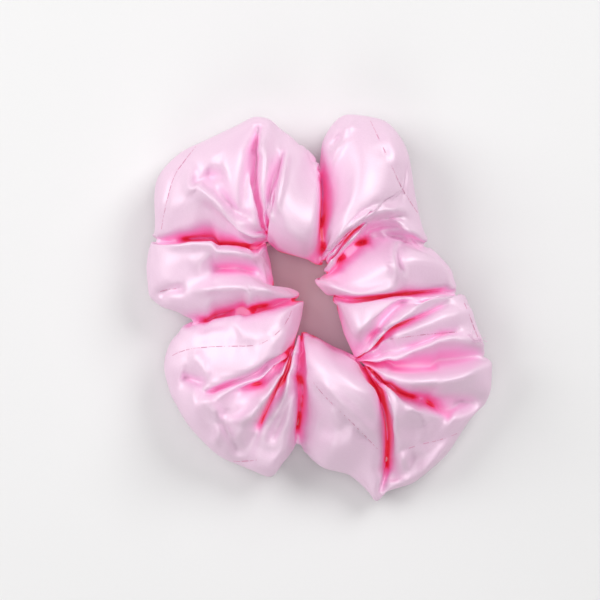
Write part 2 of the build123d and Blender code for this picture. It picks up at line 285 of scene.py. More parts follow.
# How the pressed lines are laid in: their depth times the gain, fading over a share of the line at its
# ends. A deep line also draws in the cloth beside it, over so many of its widths.
CREASE_GAIN = 1.5
CREASE_FADE = 0.18
DEEP_CREASE = 2.0
DRAW_IN, DRAW_WIDTHS = 0.5, 2.6

# Painted shade along a pressed line, against the painted shade from the fold's own depth. It varies a little
# along the line, and a line of the full depth or more gets the most.
PRESSED_LINE_SHADE = 0.24
FULL_DEPTH = 3.0
EVEN_SHARE, VARIED_SHARE, VARIED_TURN = 0.72, 0.28, 9.0

# The long seam draws the cloth in: its groove, and the puckers across it, in millimetres.
SEAM_FADE = 0.1
GROOVE_DEPTH, GROOVE_WIDTH = 0.55, 0.8
PUCKER_DEPTH, PUCKER_WIDTH, PUCKER_PITCH = 0.35, 2.6, 7.0
PUCKER_DRIFT = 0.37  # a second, slower wave that makes the puckers uneven

# The room kept round the elastic, in millimetres: over it, beside it, and where the cover is free again.
ROOM_OVER, ROOM_BESIDE, ROOM_FADE = 1.2, 2.0, 3.0

# Rays that find how deep in the folds a point lies, which sets how much painted shade and painted glow the
# satin gets there.
# They start just off the cloth, go upwards, and leave out the underside. The result is evened out over the
# cover.
RAYS = 20
RAY_REACH = 22.0
RAY_START = 0.3
RAY_LEAST_RISE = 0.05
UNDERSIDE_NORMAL, UNDERSIDE_LEVEL = -0.6, 1.5
DEPTH_SMOOTHING = (5, 0.6)

# Painted shade on the wall round the hole, more than its depth gives: how much, and where it ends, outwards
# and upwards.
HOLE_WALL_SHADE = 0.35
WALL_FADE = 5.0
WALL_TOP, WALL_TOP_FADE = 24.0, 8.0

# Stitches: the thread's share of the pitch, how far its ends are rounded, and the longest that is laid.
STITCH_SHARE, STITCH_ROUNDING, LONGEST_STITCH = 0.84, 0.3, 1.8
SMOOTH_ANGLE = radians(50)

# Frayed yarns, in metres: how far apart they start, how long they are, and three that lie tangled.
FRAY_PITCH, FRAY_PITCH_AT_SEAM = 0.0011, 0.0006
FRAY_SHORTEST, FRAY_LONGEST = 0.0010, 0.0028
TANGLED_YARNS, TANGLE_PITCH, TANGLE_SPREAD, TANGLE_LIFT = 3, 0.0012, 0.0014, 0.0004

# The braided elastic: each cord's radius as a share of its width, and how finely it is turned.
CORD_RADIUS, CORD_SIDES, CORD_STEPS = 0.56, 10, 96
TACK_COLOUR = (0.9, 0.88, 0.86)

# The stage: each light's name, place, size and power; the camera looks straight down.
LIGHTS = [
    ("key_light", (0.55, 0.55, 0.75), 0.55, 6.0),
    ("window_light", (-0.70, 0.30, 0.60), 0.65, 5.0),
    ("low_light", (-0.15, -0.75, 0.60), 0.6, 1.9),
    ("ceiling_light", (0.0, 0.0, 1.4), 0.6, 3.2),
]
SKY_STRENGTH = 0.24
CAMERA_PLACE = (-0.0067, 0.0028, 1.2)
VIEW_WIDTH, VIEW_LEVEL = 0.195, 0.015


def length_setting(name, description, default, least):
    """A length that the user may change, in metres."""
    return FloatProperty(name=name, description=description, default=default, min=least, subtype="DISTANCE")


def colour_setting(name, description, default):
    """A colour that the user may change."""
    return FloatVectorProperty(
        name=name, description=description, default=default, min=0.0, max=1.0, subtype="COLOR"
    )


class ScrunchieSizes(bpy.types.PropertyGroup):
    """Sizes of the cloth, the elastic and the thread."""

    strip_width: length_setting(
        "Strip width", "Width of the flat satin strip, seam allowances left out", 0.115, 0.02
    )
    strip_length: length_setting(
        "Strip length", "Length of the flat satin strip before it is gathered", 0.50, 0.1
    )
    cloth_thickness: length_setting("Cloth thickness", "Thickness of the satin", 0.00025, 0.00005)
    settling: FloatProperty(
        name="Settling",
        description="How much of the cloth's own settling is kept, from 0 to 1",
        default=0.35,
        min=0.0,
        max=1.0,
        subtype="FACTOR",
    )
    elastic_width: length_setting(
        "Elastic width", "Width of the braided elastic", round(ELASTIC_HIGH.z - ELASTIC_LOW.z, 4), 0.002
    )
    elastic_thickness: length_setting(
        "Elastic thickness", "Thickness of the braided elastic", 0.0011, 0.0003
    )
    elastic_cords: IntProperty(
        name="Elastic cords",
        description="Number of cords side by side in the braided elastic",
        default=7,
        min=3,
        max=15,
    )
    thread: length_setting("Thread thickness", "Thickness of the sewing thread", 0.00026, 0.0001)
    stitch: length_setting("Stitch length", "Length of one stitch", 0.0024, 0.001)
    yarn: length_setting(
        "Frayed yarn thickness", "Thickness of the yarns that fray out of the raw edge", 0.00016, 0.00005
    )


class ScrunchieColours(bpy.types.PropertyGroup):
    """Colours of the cloth, the elastic and the thread, with the painted shade of the satin's folds."""

    satin: colour_setting("Satin", "Colour of the satin where it lies open", (0.86, 0.58, 0.76))
    # Painted shade: the satin itself is one colour, and the fold and slit colours are painted into it where
    # its folds close off the light, in place of the light that bounces between the folds.
    fold: colour_setting("Fold", "Colour that the satin glows with inside its folds", (0.86, 0.25, 0.56))
    slit: colour_setting("Slit", "Colour of the satin in its deepest slits", (0.80, 0.03, 0.09))
    thread: colour_setting("Thread", "Colour of the sewing thread", (0.80, 0.36, 0.55))
    elastic: colour_setting("Elastic", "Colour of the braided elastic", (0.85, 0.83, 0.80))
    floor: colour_setting("Floor", "Colour of the table", (0.79, 0.785, 0.785))


# Shaders


class Shade:
    """One output of a material's node, so that sums on it add the Math nodes that they need."""

    def __init__(self, tree, link):
        self.tree = tree
        self.link = link

    def node(self, kind, settings=None, sockets=None, output=0):
        """Adds a node, with its settings first and then its sockets, and gives one of its outputs."""
        made = self.tree.nodes.new(kind)
        for name, value in (settings or {}).items():
            if name == "stops":
                set_stops(made.color_ramp, value)
            else:
                setattr(made, name, value)
        for name, value in (sockets or {}).items():
            if isinstance(value, Shade):
                self.tree.links.new(value.link, made.inputs[name])
            else:
                made.inputs[name].default_value = value
        return Shade(self.tree, made.outputs[output])

    def maths(self, operation, first, second):
        """Adds a Math node on two values."""
        return self.node("ShaderNodeMath", {"operation": operation}, {0: first, 1: second})

    def __add__(self, other):
        return self.maths("ADD", self, other)

    def __radd__(self, other):
        return self.maths("ADD", other, self)

    def __sub__(self, other):
        return self.maths("SUBTRACT", self, other)

    def __rsub__(self, other):
        return self.maths("SUBTRACT", other, self)

    def __mul__(self, other):
        return self.maths("MULTIPLY", self, other)

    def __rmul__(self, other):
        return self.maths("MULTIPLY", other, self)


def set_stops(ramp, stops):
    """Gives a colour ramp its stops: a place and a colour each."""
    while len(ramp.elements) > 1:
        ramp.elements.remove(ramp.elements[-1])
    for number, (place, colour) in enumerate(stops):
        element = ramp.elements[0] if number == 0 else ramp.elements.new(place)
        element.position = place
        element.color = (*colour, 1.0)


def new_material(name, uniform):
    """A material whose Principled shader has these uniform values; gives it, its start and its shader."""
    material = bpy.data.materials.new(name)
    material.use_nodes = True
    shader = material.node_tree.nodes["Principled BSDF"]
    for socket, value in uniform.items():
        shader.inputs[socket].default_value = value
    return material, Shade(material.node_tree, None), shader


def connect(shader, socket, shade):
    """Links a shade to one of the shader's sockets."""
    shade.tree.links.new(shade.link, shader.inputs[socket])


def between(start, share, first, second):
    """A mix of two colours, by a share that changes over the surface."""
    sockets = {0: share, 6: (*first, 1.0), 7: (*second, 1.0)}
    return start.node("ShaderNodeMix", {"data_type": "RGBA"}, sockets, output=2)


def relief(start, strength, depth, height):
    """The surface's direction over a fine relief."""
    return start.node("ShaderNodeBump", None, {"Strength": strength, "Distance": depth, "Height": height})


def yarn_pattern(start, across, along):
    """Fine threads of a weave on the cloth's own map: uneven lines, longer than they are wide."""
    cloth = start.node("ShaderNodeUVMap", {"uv_map": "cloth"})
    placed = start.node("ShaderNodeMapping", None, {"Vector": cloth, "Scale": (along, across, 1.0)})
    return start.node("ShaderNodeTexNoise", None, {"Vector": placed, "Scale": 1.0, "Detail": 2.0})


def satin_material(colours):
    """Glossy satin with a fine weave: pale where it lies open, with painted shade of deeper pink and red in
    the folds and a painted glow there.
    """
    material, start, shader = new_material(
        "satin_weave_painted_shade",
        {
            "IOR": 2.0,
            "Specular IOR Level": 0.85,
            "Sheen Weight": 0.15,
            "Sheen Roughness": 0.35,
            "Sheen Tint": (1.0, 0.88, 0.95, 1.0),
            "Emission Strength": 1.0,
        },
    )
    deep = start.node("ShaderNodeAttribute", {"attribute_name": "deep"}, None, output=2)
    satin, fold, slit = tuple(colours.satin), tuple(colours.fold), tuple(colours.slit)
    soft_fold_shade = tuple((a + b) / 2 for a, b in zip(satin, fold))
    # Painted shade: the satin's colour turns deeper pink and then red where the folds close off the light.
    stops = [(0.0, satin), (0.50, satin), (0.78, soft_fold_shade), (0.94, fold), (1.0, slit)]
    colour = start.node("ShaderNodeValToRGB", {"stops": stops}, {0: deep})
    # Painted glow: emission in the folds stands in for light that passes through the cloth and bounces
    # between its layers.
    glow_stops = [
        (0.0, (0, 0, 0)),
        (0.3, (0, 0, 0)),
        (0.6, (0.07, 0.012, 0.045)),
        (0.9, (0.16, 0.018, 0.062)),
        (1.0, (0.13, 0.0, 0.01)),
    ]
    glow = start.node("ShaderNodeValToRGB", {"stops": glow_stops}, {0: deep})
    weave = yarn_pattern(start, 180.0, 1100.0)
    filling = yarn_pattern(start, 420.0, 120.0)
    grain = weave * 0.55 + filling * 0.45
    channels = {0: 0.92 + grain * 0.14, 1: 0.86 + grain * 0.26, 2: 0.89 + grain * 0.20}
    weave_tint = start.node("ShaderNodeCombineColor", None, channels)
    shaded = start.node(
        "ShaderNodeMix",
        {"data_type": "RGBA", "blend_type": "MULTIPLY"},
        {0: 1.0, 6: colour, 7: weave_tint},
        output=2,
    )
    connect(shader, "Base Color", shaded)
    connect(shader, "Emission Color", glow)
    connect(shader, "Roughness", 0.36 + grain * 0.28)
    connect(shader, "Normal", relief(start, 0.4, 0.0001, grain))
    return material


def thread_material(name, colour, twist):
    """Sewing thread: two plies twisted together, with painted shade between them."""
    material, start, shader = new_material(name, {"Specular IOR Level": 0.5, "Sheen Weight": 0.3})
    place = start.node("ShaderNodeTexCoord", None, None, output=3)
    sockets = {"Vector": place, "Scale": twist, "Distortion": 1.5}
    plies = start.node("ShaderNodeTexWave", None, sockets, output=1)
    # Painted shade in the grooves between the plies.
    ply_shade = tuple(channel * 0.85 for channel in colour)
    connect(shader, "Base Color", between(start, plies, ply_shade, colour))
    connect(shader, "Roughness", 0.45 + plies * 0.2)
    connect(shader, "Normal", relief(start, 0.4, 0.0001, plies))
    return material


def elastic_material(colours):
    """Matt braided elastic: slanting yarns over cords of rubber."""
    material, start, shader = new_material("braided_elastic", {"Specular IOR Level": 0.3})
    place = start.node("ShaderNodeTexCoord", None, None, output=3)
    lean = start.node("ShaderNodeMapping", None, {"Vector": place, "Rotation": (0.6, 0.6, 0.0)})
    sockets = {"Vector": lean, "Scale": 700.0, "Distortion": 2.0}
    yarns = start.node("ShaderNodeTexWave", None, sockets, output=1)
    fuzz = start.node("ShaderNodeTexNoise", None, {"Vector": place, "Scale": 2500.0})
    colour = tuple(colours.elastic)
    shadow = tuple(channel * 0.72 for channel in colour)
    mix = yarns * 0.7 + fuzz * 0.3
    connect(shader, "Base Color", between(start, mix, shadow, colour))
    connect(shader, "Roughness", 0.7 + mix * 0.15)
    connect(shader, "Normal", relief(start, 0.6, 0.0002, mix))
    return material


def floor_material(colours):
    """A pale matt table top with a barely visible grain."""
    material, start, shader = new_material("pale_table", {"Specular IOR Level": 0.2})
    place = start.node("ShaderNodeTexCoord", None, None, output=3)
    grain = start.node("ShaderNodeTexNoise", None, {"Vector": place, "Scale": 900.0, "Detail": 3.0})
    colour = tuple(colours.floor)
    darker = tuple(channel * 0.985 for channel in colour)
    connect(shader, "Base Color", between(start, grain, darker, colour))
    connect(shader, "Roughness", 0.62 + grain * 0.1)
    return material


# The cover's shape


def hermite(points, tangents, knots, steps, length, where):
    """Reads a closed cubic curve, given by points and tangents at knots, at the parameters in where."""
    where = (where - knots[0]) % length + knots[0]
    piece = np.clip(np.searchsorted(knots, where, side="right") - 1, 0, len(knots) - 1)
    after = (piece + 1) % len(knots)
    size = steps[piece][:, None]
    t = (where - knots[piece])[:, None] / size
    return (
        points[piece] * (1 + 2 * t) * (1 - t) ** 2
        + tangents[piece] * size * t * (1 - t) ** 2
        + points[after] * t * t * (3 - 2 * t)
        + tangents[after] * size * t * t * (t - 1)
    )


def round_curve(points, where):
    """A smooth closed curve through points, with the chord length as parameter, read at shares of it."""
    steps = np.linalg.norm(np.roll(points, -1, 0) - points, axis=1)
    knots = np.concatenate([[0], np.cumsum(steps)[:-1]])
    length = steps.sum()
    count = len(points)
    slopes = (np.roll(points, -1, 0) - points) / steps[:, None]
    before = np.roll(steps, 1)
    system = np.zeros((count, count))
    for n in range(count):
        system[n, n - 1] += steps[n]
        system[n, n] += 2 * (before[n] + steps[n])
        system[n, (n + 1) % count] += before[n]
    right = 3 * (steps[:, None] * np.roll(slopes, 1, 0) + before[:, None] * slopes)
    tangents = np.linalg.solve(system, right)
    return hermite(points, tangents, knots, steps, length, where * length)


def level_curve(values, knots, length, where):
    """A closed curve through values at knots that never overshoots them."""
    shape = values.shape[1:]
    values = values.reshape(len(values), -1)
    steps = np.diff(np.append(knots, knots[0] + length))[:, None]
    slopes = (np.roll(values, -1, 0) - values) / steps
    before, slope_before = np.roll(steps, 1, 0), np.roll(slopes, 1, 0)
    w1, w2 = 2 * steps + before, steps + 2 * before
    with np.errstate(divide="ignore", invalid="ignore"):
        mean = (w1 + w2) / (w1 / slope_before + w2 / slopes)
    tangents = np.where(slopes * slope_before > 0, mean, 0.0)
    return hermite(values, tangents, knots, steps[:, 0], length, where).reshape((len(where),) + shape)


def spread_loop(curve, count):
    """Spreads count points along a closed curve of many points, closer together on its upper side."""
    closed = np.vstack([curve, curve[:1]])
    steps = np.linalg.norm(np.diff(closed, axis=0), axis=1)
    middle = (closed[1:, 2] + closed[:-1, 2]) / 2
    steps = steps * np.where(middle > TOP_FROM, 1.0, UNDER_SHARE)
    along = np.concatenate([[0], np.cumsum(steps)])
    where = np.linspace(0, along[-1], count, endpoint=False)
    return np.stack([np.interp(where, along, closed[:, axis]) for axis in range(3)], axis=1)


def section_of(fold, around):
    """The closed outline of the tube at one fold: over the top from hole to rim, and back underneath."""
    top = np.array(fold[1:], float)
    inner, outer = top[0], top[3]
    out = outer[:2] - inner[:2]
    out /= np.linalg.norm(out)
    under = []
    for share, inset, level in UNDERSIDE:
        place = inner[:2] + (outer - inner)[:2] * share
        shift = -inset if share > 0.5 else inset
        under.append([*(place + out * shift), level])
    loop = np.vstack([top, under])
    many = round_curve(loop, np.linspace(0, 1, OUTLINE_POINTS, endpoint=False))
    return spread_loop(many, around)


def cover_grid(along, around):
    """The tube's surface as a grid of points, along the ring and around the tube, in millimetres."""
    sections = np.array([section_of(fold, around) for fold in FOLDS])
    gaps = np.sqrt((np.linalg.norm(np.roll(sections, -1, 0) - sections, axis=2) ** 2).mean(axis=1))
    knots = np.concatenate([[0], np.cumsum(gaps)[:-1]])
    length = gaps.sum()
    where = np.linspace(0, length, along, endpoint=False)
    return level_curve(sections, knots, length, where)


def finer(grid, count, axis):
    """Reads a closed grid more finely along one axis, on a smooth curve through its points."""
    grid = np.moveaxis(grid, axis, 0)
    size = len(grid)
    where = np.linspace(0, size, count, endpoint=False)
    first = np.floor(where).astype(int)
    t = (where - first).reshape((-1,) + (1,) * (grid.ndim - 1))
    p0, p1, p2, p3 = (grid[(first + shift) % size] for shift in (-1, 0, 1, 2))
    curve = p1 + 0.5 * t * (p2 - p0 + t * (2 * p0 - 5 * p1 + 4 * p2 - p3 + t * (3 * (p1 - p2) + p3 - p0)))
    return np.moveaxis(curve, 0, axis)


def mesh_of_grid(name, grid):
    """A closed ring-shaped piece from a grid of points, with its map of the cloth, facing outwards."""
    rows, columns = grid.shape[:2]
    index = np.arange(rows * columns).reshape(rows, columns)
    right, up = np.roll(index, -1, 0), np.roll(index, -1, 1)
    corner = np.roll(right, -1, 1)
    faces = np.stack([index, right, corner, up], axis=-1).reshape(-1, 4)
    mesh = bpy.data.meshes.new(name)
    mesh.from_pydata(grid.reshape(-1, 3).tolist(), [], faces.tolist())
    layer = mesh.uv_layers.new(name="cloth")
    u = np.repeat(np.arange(rows), columns).reshape(rows, columns) / rows
    v = np.tile(np.arange(columns), rows).reshape(rows, columns) / columns
    corners = [(0, 0), (1, 0), (1, 1), (0, 1)]
    uv = np.stack([np.stack([u + a / rows, v + b / columns], -1) for a, b in corners], axis=2)
    layer.data.foreach_set("uv", uv.reshape(-1).astype(np.float32))
    mesh.polygons.foreach_set("use_smooth", [True] * len(mesh.polygons))
    mesh.update()
    piece = bpy.data.objects.new(name, mesh)
    bpy.context.collection.objects.link(piece)
    return piece


def settle(grid):
    """How far each point of the coarse cover moves as the cloth settles, in millimetres."""
    scale = MM * SETTLING_SCALE
    cloth = mesh_of_grid("settling_cover", grid * scale)
    columns = grid.shape[1]
    hold = cloth.vertex_groups.new(name="hold")
    hold.add(list(range(len(cloth.data.vertices))), HOLD_LOOSE, "REPLACE")
    at_elastic = [n for n in range(len(cloth.data.vertices)) if (n + 2) % columns < 4]
    hold.add(at_elastic, HOLD_AT_ELASTIC, "REPLACE")
    cloth.modifiers.new("cloth", "CLOTH")
    soft = cloth.modifiers["cloth"].settings
    soft.quality = 5
    soft.mass = 0.05
    soft.air_damping = 2.0
    soft.tension_stiffness = soft.compression_stiffness = 30.0
    soft.shear_stiffness = 15.0
    soft.bending_stiffness = 40.0
    soft.tension_damping = soft.compression_damping = soft.shear_damping = 5.0
    soft.bending_damping = 0.5
    soft.use_pressure = True
    soft.uniform_pressure_force = 1.5
    soft.vertex_group_mass = "hold"
    soft.pin_stiffness = 2.0
    soft.shrink_min = soft.shrink_max = SETTLING_SHRINK
    soft.effector_weights.gravity = 0.1
    touch = cloth.modifiers["cloth"].collision_settings
    touch.collision_quality = 2
    touch.distance_min = 0.01
    touch.use_self_collision = True
    touch.self_distance_min = 0.012
    touch.self_friction = 2.0
    bpy.ops.mesh.primitive_plane_add(size=10.0, location=(0.0, 0.0, 0.0))
    ground = bpy.context.object
    ground.modifiers.new("ground", "COLLISION")
    ground.collision.thickness_outer = 0.005
    cloth.modifiers["cloth"].point_cache.frame_end = SETTLING_FRAMES + 1
    scene = bpy.context.scene
    for step in range(1, SETTLING_FRAMES + 1):
        scene.frame_set(step)
    settled = cloth.evaluated_get(bpy.context.evaluated_depsgraph_get())
    places = np.empty(len(cloth.data.vertices) * 3)
    settled.data.vertices.foreach_get("co", places)
    for temporary in (cloth, ground):
        bpy.data.objects.remove(temporary)
    scene.frame_set(1)
    return places.reshape(grid.shape) / scale - grid


def nearest_on_line(places, line):
    """For each place: its offset from the nearest point of a line, and how far along it that is, 0 to 1."""
    line = np.array(line, float)
    steps = np.diff(line, axis=0)
    lengths = np.linalg.norm(steps, axis=1)
    total = lengths.sum()
    best = np.full(len(places), np.inf)
    offset = np.zeros((len(places), 2))
    along = np.zeros(len(places))
    walked = 0.0
    for start, step, length in zip(line[:-1], steps, lengths):
        share = np.clip(((places - start) @ step) / length**2, 0, 1)
        away = start + share[:, None] * step - places
        distance = np.linalg.norm(away, axis=1)
        nearer = distance < best
        best[nearer] = distance[nearer]
        offset[nearer] = away[nearer]
        along[nearer] = (walked + share[nearer] * length) / total
        walked += length
    return best, offset, along


def rounded(line, times=2):
    """A line with its corners cut, so that it curves."""
    line = np.array(line, float)
    for _ in range(times):
        near = line[:-1] * 0.75 + line[1:] * 0.25
        far = line[:-1] * 0.25 + line[1:] * 0.75
        middle = np.stack([near, far], axis=1).reshape(-1, 2)
        line = np.vstack([line[:1], middle[1:-1], line[-1:]])
    return line


def grid_normals(grid):
    """Outward directions at a closed grid's points."""
    along = np.roll(grid, -1, 0) - np.roll(grid, 1, 0)
    around = np.roll(grid, -1, 1) - np.roll(grid, 1, 1)
    normal = np.cross(along, around)
    return normal / np.maximum(np.linalg.norm(normal, axis=2, keepdims=True), 1e-9)


def eased(share):
    """A share from 0 to 1 that starts and ends gently."""
    return share * share * (3 - 2 * share)


def bell(distance, width):
    """1 at no distance, falling off smoothly over a width."""
    return np.exp(-((distance / width) ** 2))


def faces_up(grid):
    """How far each point's cloth faces upwards, from 0 to 1."""
    return np.clip(grid_normals(grid).reshape(-1, 3)[:, 2] * 2 + 0.6, 0, 1)


def inside_ends(along, fade):
    """1 along the middle of a line, falling to 0 at its ends over a share of its length."""
    return np.clip(np.minimum(along, 1 - along) / fade, 0, 1)


def press_creases(grid):
    """Presses the sharp lines into the cover's upper side; gives the cover and the painted shade along the
    lines.
    """
    points = grid.reshape(-1, 3).copy()
    crease_shade = np.zeros(len(points))
    facing = faces_up(grid)
    for _, width, depth, line in CREASES:
        distance, offset, along = nearest_on_line(points[:, :2], rounded(line))
        near = eased(inside_ends(along, CREASE_FADE)) * facing
        points[:, 2] -= CREASE_GAIN * depth * near * bell(distance, width)
        varied = EVEN_SHARE + VARIED_SHARE * np.cos(along * VARIED_TURN + depth)
        strength = np.clip(depth, 0, FULL_DEPTH) / FULL_DEPTH * varied
        # Painted shade along the pressed line, strongest at its middle.
        crease_shade = np.maximum(crease_shade, strength * near * bell(distance, width))
        if depth > DEEP_CREASE:
            pull = DRAW_IN * near * bell(distance, DRAW_WIDTHS * width)
            points[:, :2] += offset * pull[:, None]
    return points.reshape(grid.shape), crease_shade


def press_seam(grid):
    """Draws the cloth in along the long seam, with small puckers across it."""
    points = grid.reshape(-1, 3).copy()
    facing = faces_up(grid)
    for number, (_, line) in enumerate(LONG_SEAM):
        distance, _, along = nearest_on_line(points[:, :2], rounded(line))
        length = np.linalg.norm(np.diff(np.array(line, float), axis=0), axis=1).sum()
        turns = along * length / PUCKER_PITCH * 2 * pi
        wave = np.sin(turns + number) * np.sin(turns * PUCKER_DRIFT + 2 * number)
        groove = GROOVE_DEPTH * bell(distance, GROOVE_WIDTH)
        pucker = PUCKER_DEPTH * wave * bell(distance, PUCKER_WIDTH)
        points[:, 2] -= inside_ends(along, SEAM_FADE) * facing * (groove + pucker)
    return points.reshape(grid.shape)


def elastic_reach(turn):
    """How far the elastic lies from its middle, in millimetres: further out at the hole's corner."""
    away = (turn - radians(CORNER_AT) + pi) % (2 * pi) - pi
    return ELASTIC_RADIUS / MM + CORNER_REACH * bell(away, radians(CORNER_WIDTH))


def clear_elastic(grid):
    """Lifts the cover's top side clear of the elastic."""
    points = grid.reshape(-1, 3).copy()
    across, along = points[:, 0] - ELASTIC_MIDDLE.x / MM, points[:, 1] - ELASTIC_MIDDLE.y / MM
    reach = elastic_reach(np.arctan2(along, across))
    beside = np.abs(np.hypot(across, along) - reach)
    near = eased(np.clip(1 - (beside - ROOM_BESIDE) / ROOM_FADE, 0, 1))
    normal = grid_normals(grid).reshape(-1, 3)[:, 2]
    top = ELASTIC_HIGH.z / MM + ROOM_OVER
    lift = np.where(normal > 0, np.maximum(top - points[:, 2], 0), 0)
    points[:, 2] += lift * near
    return points.reshape(grid.shape)


def smooth_grid(grid, times, share):
    """Evens out small bumps."""
    for _ in range(times):
        around = sum(np.roll(grid, shift, axis) for shift in (-1, 1) for axis in (0, 1)) / 4
        grid = grid + (around - grid) * share
    return grid


def steady_rays(count):
    """Directions spread evenly over a ball."""
    turns = [(n + 0.5) / count for n in range(count)]
    rays = []
    for number, share in enumerate(turns):
        height = 1 - 2 * share
        flat = (1 - height * height) ** 0.5
        turn = number * pi * (3 - 5**0.5)
        rays.append(Vector((flat * cos(turn), flat * sin(turn), height)))
    return rays


def depth_in_folds(grid, faces):
    """How much of the light's way to each point other cloth closes, from 0 to 1."""
    points = [Vector(p) for p in grid.reshape(-1, 3).tolist()]
    tree = BVHTree.FromPolygons([tuple(p) for p in points], faces)
    normals = [Vector(n) for n in grid_normals(grid).reshape(-1, 3).tolist()]
    rays = steady_rays(RAYS)
    closed = np.zeros(len(points))
    for number, (point, normal) in enumerate(zip(points, normals)):
        if normal.z < UNDERSIDE_NORMAL or point.z < UNDERSIDE_LEVEL:
            continue
        start = point + normal * RAY_START
        ways = [way for way in ((normal + ray).normalized() for ray in rays) if way.z > RAY_LEAST_RISE]
        hits = sum(tree.ray_cast(start, way, RAY_REACH)[0] is not None for way in ways)
        closed[number] = hits / max(len(ways), 1)
    return smooth_grid(closed.reshape(*grid.shape[:2], 1), *DEPTH_SMOOTHING).reshape(-1)


def faces_hole(grid):
    """How squarely each point of the ring's inner wall faces the hole, from 0 to 1."""
    points, normals = grid.reshape(-1, 3), grid_normals(grid).reshape(-1, 3)
    across = ELASTIC_MIDDLE.x / MM - points[:, 0]
    along = ELASTIC_MIDDLE.y / MM - points[:, 1]
    away = np.maximum(np.hypot(across, along), 1e-6)
    facing = (normals[:, 0] * across + normals[:, 1] * along) / away
    inside = np.clip((ELASTIC_RADIUS / MM - away) / WALL_FADE + 0.6, 0, 1)
    low = np.clip((WALL_TOP - points[:, 2]) / WALL_TOP_FADE, 0, 1)
    return np.clip(facing * 1.5 - 0.3, 0, 1) * (inside * low)


def select_only(piece):
    """Selects one piece and makes it active."""
    for other in bpy.context.selected_objects:
        other.select_set(False)
    piece.select_set(True)
    bpy.context.view_layer.objects.active = piece


def apply_modifiers(piece):
    """Applies all of a piece's modifiers."""
    select_only(piece)
    for modifier in list(piece.modifiers):
        bpy.ops.object.modifier_apply(modifier=modifier.name)


def give(piece, material):
    """Gives a piece its material."""
    piece.data.materials.clear()
    piece.data.materials.append(material)


def cover_tree():
    """The finished cover's surface, for pieces that lie on it."""
    cover = bpy.data.objects["satin_cover"]
    points = [v.co.copy() for v in cover.data.vertices]
    return BVHTree.FromPolygons(points, [tuple(p.vertices) for p in cover.data.polygons])


def on_cover(tree, x, y, lift):
    """The point of the cover's top under a place seen from above, in metres, raised off the cloth."""
    hit, normal, _, _ = tree.ray_cast(Vector((x, y, 0.1)), Vector((0, 0, -1)))
    if hit is None:
        return None
    if normal.z < 0:
        normal = -normal
    return hit + normal * lift


def walk(line, pitch):
    """Places at an even pitch along a line seen from above, in metres."""
    line = rounded(line, 3) * MM
    steps = np.linalg.norm(np.diff(line, axis=0), axis=1)
    along = np.concatenate([[0], np.cumsum(steps)])
    count = max(2, int(along[-1] / pitch) + 1)
    where = np.linspace(0, along[-1], count)
    return [(float(np.interp(w, along, line[:, 0])), float(np.interp(w, along, line[:, 1]))) for w in where]


def model_stitch(sizes):
    """One stitch along X: a short run of thread with rounded ends."""
    bpy.ops.object.select_all(action="DESELECT")
    bpy.ops.mesh.primitive_cylinder_add(
        vertices=8,
        radius=sizes.thread / 2,
        depth=sizes.stitch * STITCH_SHARE,
        rotation=(0.0, pi / 2, 0.0),
    )
    stitch = bpy.context.object
    bpy.ops.object.transform_apply(location=True, rotation=True, scale=True)
    bpy.ops.object.mode_set(mode="EDIT")
    bpy.ops.mesh.select_all(action="DESELECT")
    bpy.ops.object.mode_set(mode="OBJECT")
    for face in stitch.data.polygons:
        face.select = abs(face.normal.x) > 0.9
    bpy.ops.object.mode_set(mode="EDIT")
    bpy.ops.mesh.bevel(offset=sizes.thread * STITCH_ROUNDING, segments=2, affect="EDGES")
    bpy.ops.object.mode_set(mode="OBJECT")
    return stitch


def lay_stitches(name, lines, sizes):
    """Copies one stitch along lines on the cover and joins the copies into a piece."""
    tree = cover_tree()
    stitch = model_stitch(sizes)
    copies = []
    for line in lines:
        places = walk(line, sizes.stitch)
        for (x0, y0), (x1, y1) in zip(places[:-1], places[1:]):
            start = on_cover(tree, x0, y0, 0.0)
            end = on_cover(tree, x1, y1, 0.0)
            if start is None or end is None or (end - start).length > sizes.stitch * LONGEST_STITCH:
                continue
            turn = (end - start).to_track_quat("X", "Z").to_matrix().to_4x4()
            stretch = Matrix.Scale((end - start).length / sizes.stitch, 4, Vector((1, 0, 0)))
            copy = stitch.copy()
            copy.data = stitch.data.copy()
            copy.data.transform(Matrix.Translation((start + end) / 2) @ turn @ stretch)
            bpy.context.collection.objects.link(copy)
            copies.append(copy)
    bpy.data.objects.remove(stitch)
    return join(name, copies)


def join(name, parts):
    """Joins parts into one piece."""
    select_only(parts[0])
    for part in parts:
        part.select_set(True)
    bpy.ops.object.join()
    piece = bpy.context.object
    piece.name = name
    piece.data.name = name
    bpy.ops.object.shade_smooth_by_angle(angle=SMOOTH_ANGLE)
    return piece


def model_yarn(path, thickness):
    """A thin round yarn along a path of points."""
    curve = bpy.data.curves.new("yarn", "CURVE")
    curve.dimensions = "3D"
    curve.bevel_depth = thickness / 2
    curve.bevel_resolution = 1
    curve.use_fill_caps = True
    spline = curve.splines.new("NURBS")
    spline.points.add(len(path) - 1)
    for point, place in zip(spline.points, path):
        point.co = (*place, 1.0)
    spline.order_u = 3
    spline.use_endpoint_u = True
    spline.resolution_u = 3
    made = bpy.data.objects.new("yarn", curve)
    bpy.context.collection.objects.link(made)
    select_only(made)
    bpy.ops.object.convert(target="MESH")
    return bpy.context.object


